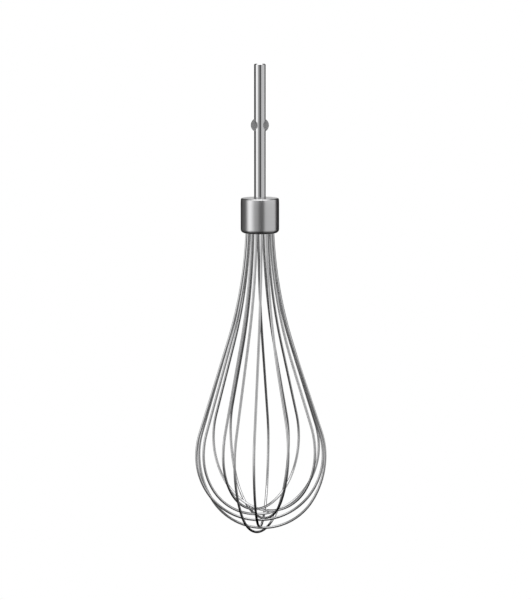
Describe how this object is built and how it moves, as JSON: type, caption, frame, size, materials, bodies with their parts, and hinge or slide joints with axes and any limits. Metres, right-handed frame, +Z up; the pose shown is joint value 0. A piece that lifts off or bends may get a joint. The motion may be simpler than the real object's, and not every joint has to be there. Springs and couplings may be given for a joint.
{
  "type": "hand mixer balloon whisk",
  "caption": "Balloon whisk attachment for a hand mixer: round steel shank with two pinched drive ears, brushed collar and bent wire loops.",
  "frame": {"origin": "on the shank's axis, level with the middle of the drive ears", "axes": "+Z runs up the shank to its tip and the wire loops hang towards -Z; the picture's camera looks along +Y; the line through the two ears is turned 6 degrees from +X about +Z"},
  "size_m": [0.0638, 0.0614, 0.2272],
  "materials": {
    "shank_steel": "stainless rod, drawn bright, with fine lines along its length",
    "collar_steel": "drawn stainless cup, brushed round its circumference",
    "wire_steel": "polished stainless spring wire",
    "holder_metal": "turned, hidden inside the collar",
    "plug_resin": "dark food-safe resin, satin, seen only from below"
  },
  "bodies": {
    "root": {"drive_shank": "shank_steel", "collar": "collar_steel", "wire_holder": "holder_metal", "sealing_plug": "plug_resin", "wire_loop_1": "wire_steel", "wire_loop_2": "wire_steel", "wire_loop_3": "wire_steel", "wire_loop_4": "wire_steel", "wire_loop_5": "wire_steel", "wire_loop_6": "wire_steel", "wire_loop_7": "wire_steel", "wire_loop_8": "wire_steel"}
  },
  "joints": []
}
